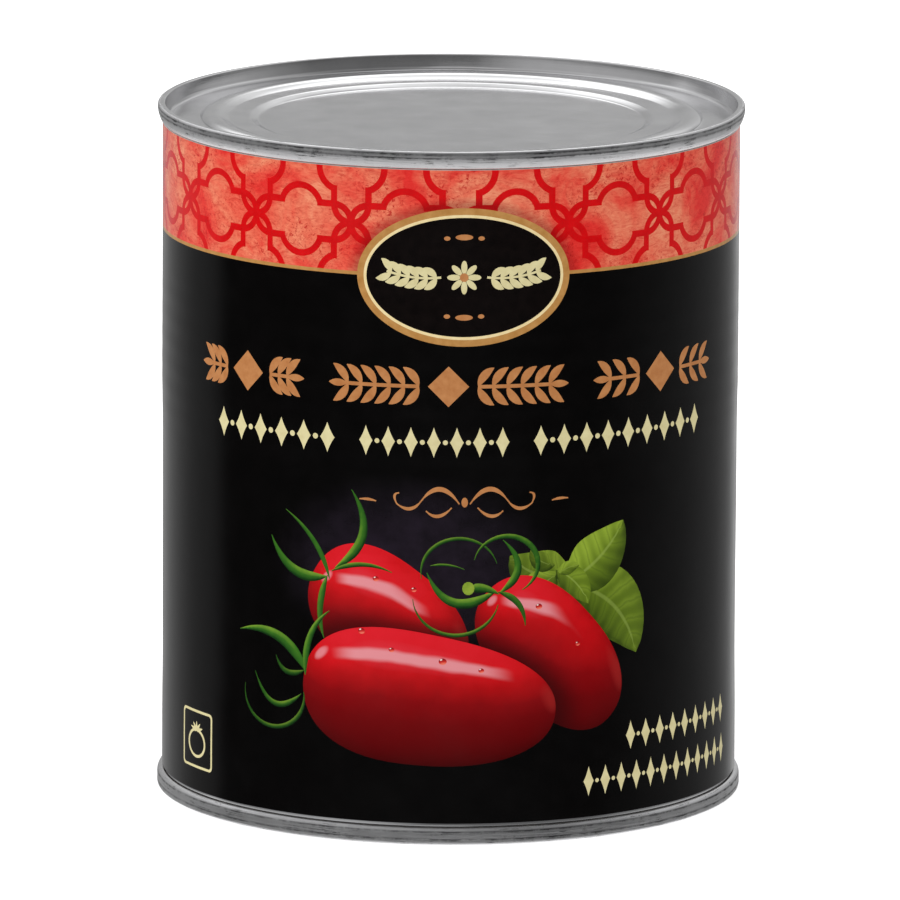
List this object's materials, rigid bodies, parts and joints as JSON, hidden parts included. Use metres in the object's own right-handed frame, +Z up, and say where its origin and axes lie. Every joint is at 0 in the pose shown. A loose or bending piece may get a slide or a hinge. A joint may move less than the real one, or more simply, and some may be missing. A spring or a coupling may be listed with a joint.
{
  "type": "tin of tomatoes",
  "caption": "Shut steel food can with double-seamed ends, ringed sunk lids and a black and coral paper label showing plum tomatoes and basil.",
  "frame": {"origin": "middle of the plane that the bottom rim stands on", "axes": "+Z up along the axis of the tin; the front of the label faces -Y"},
  "size_m": [0.1012, 0.1012, 0.1198],
  "materials": {
    "tinplate": "bright tinplate, lightly scuffed on the seams",
    "body_steel": "dull tinplate, beaded",
    "label_paper": "glossy coated paper, printed black, coral, gold and cream"
  },
  "bodies": {
    "root": {"can_body": "body_steel", "top_end": "tinplate", "bottom_end": "tinplate", "label": "label_paper"}
  },
  "joints": []
}
